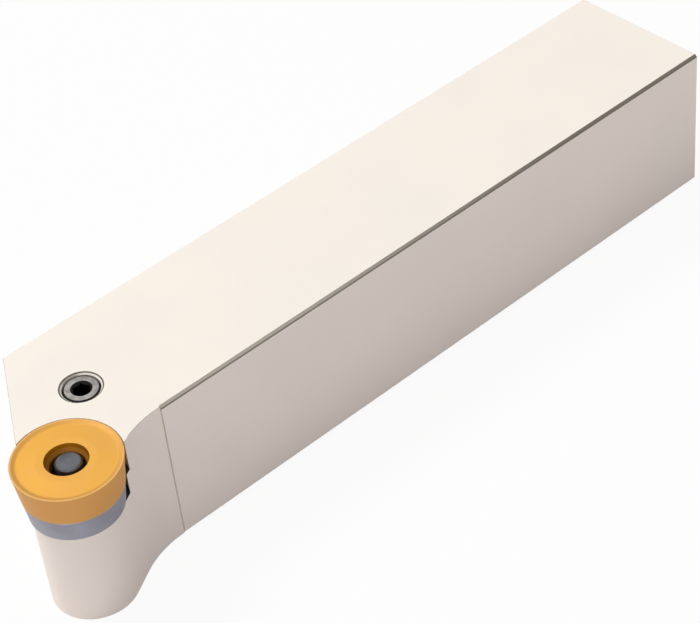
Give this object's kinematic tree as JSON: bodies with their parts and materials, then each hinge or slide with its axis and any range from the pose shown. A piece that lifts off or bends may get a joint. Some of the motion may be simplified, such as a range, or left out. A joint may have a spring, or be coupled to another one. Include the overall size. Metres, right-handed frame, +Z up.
{
  "type": "turning tool holder",
  "caption": "Square-shank right-hand turning tool holder: a round insert on a shim in an open pocket, clamped by a bell-crank lever that a screw in the top face drives.",
  "frame": {"origin": "on the base, at the rear end of the shank and the middle of its width", "axes": "+X along the shank to the cutting head, +Y to the cutting side, +Z up from the base to the face that the insert's cutting edge is level with"},
  "size_m": [0.17, 0.04, 0.032],
  "materials": {
    "plated_steel": "satin nickel plate over ground steel",
    "coated_carbide": "gold-coloured hard coating, satin",
    "ground_carbide": "fine ground carbide, blue-grey",
    "spring_steel": "bright drawn spring steel",
    "lever_steel": "hardened and bead-blasted, grey",
    "screw_steel": "turned, hardened alloy steel with dark oxide in the socket"
  },
  "bodies": {
    "holder": {"holder_body": "plated_steel", "shim": "ground_carbide", "shim_sleeve": "spring_steel"},
    "screw": {"clamp_screw": "screw_steel"},
    "lever": {"clamp_lever": "lever_steel"},
    "insert": {"insert": "coated_carbide"}
  },
  "joints": [
    {"name": "screw_travel", "type": "slide", "parent": "holder", "child": "screw", "axis": [0, 0, 1], "range_m": [0, 0.00117]},
    {"name": "lever_tilt", "type": "hinge", "parent": "holder", "child": "lever", "pos_m": [0.16, 0.014, 0.014], "axis": [-0.7071, 0.7071, 0], "range_deg": [0, 4.3]},
    {"name": "insert_index", "type": "hinge", "parent": "holder", "child": "insert", "pos_m": [0.16, 0.014, 0.02565], "axis": [0, 0, 1], "continuous": true}
  ],
  "couplings": [
    {"joint": "lever_tilt", "follows": "screw_travel", "rad_per_m": 64.114}
  ]
}
